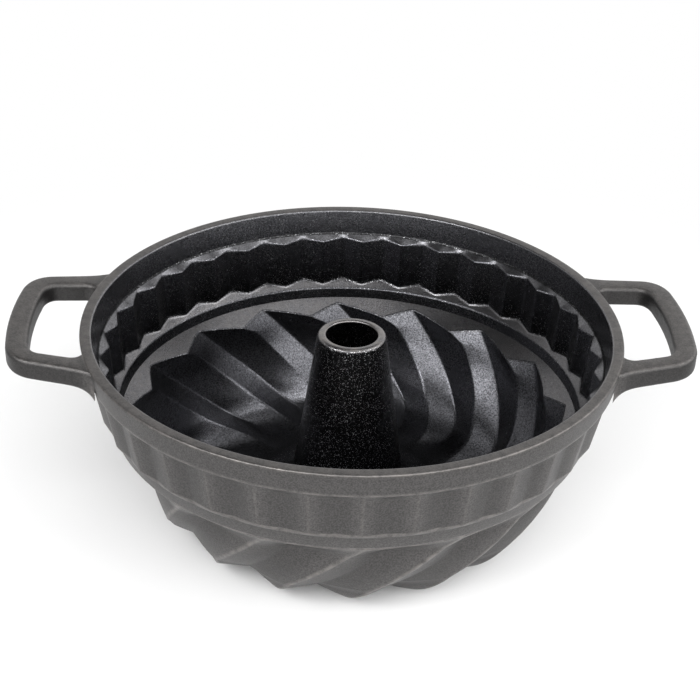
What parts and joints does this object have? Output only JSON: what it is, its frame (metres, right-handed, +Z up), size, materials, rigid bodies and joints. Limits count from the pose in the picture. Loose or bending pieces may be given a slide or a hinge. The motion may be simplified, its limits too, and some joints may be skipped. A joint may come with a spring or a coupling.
{
  "type": "fluted tube pan",
  "caption": "Round cast-iron tube pan with a plain rim, upright flutes over a swirled bowl, a hollow conical centre tube and two loop handles.",
  "frame": {"origin": "centre of the foot, on the surface the pan stands on", "axes": "+Z up along the centre tube, +X through the middle of one handle; the picture looks along +Y from above"},
  "size_m": [0.3204, 0.255, 0.104],
  "materials": {
    "seasoned_iron": "oil-seasoned, finely pebbled sand-cast skin"
  },
  "bodies": {
    "root": {"rim_ring": "seasoned_iron", "right_handle": "seasoned_iron", "left_handle": "seasoned_iron", "fluted_band": "seasoned_iron", "step_ring": "seasoned_iron", "swirl_wall": "seasoned_iron", "bowl_floor": "seasoned_iron", "centre_tube": "seasoned_iron"}
  },
  "joints": []
}
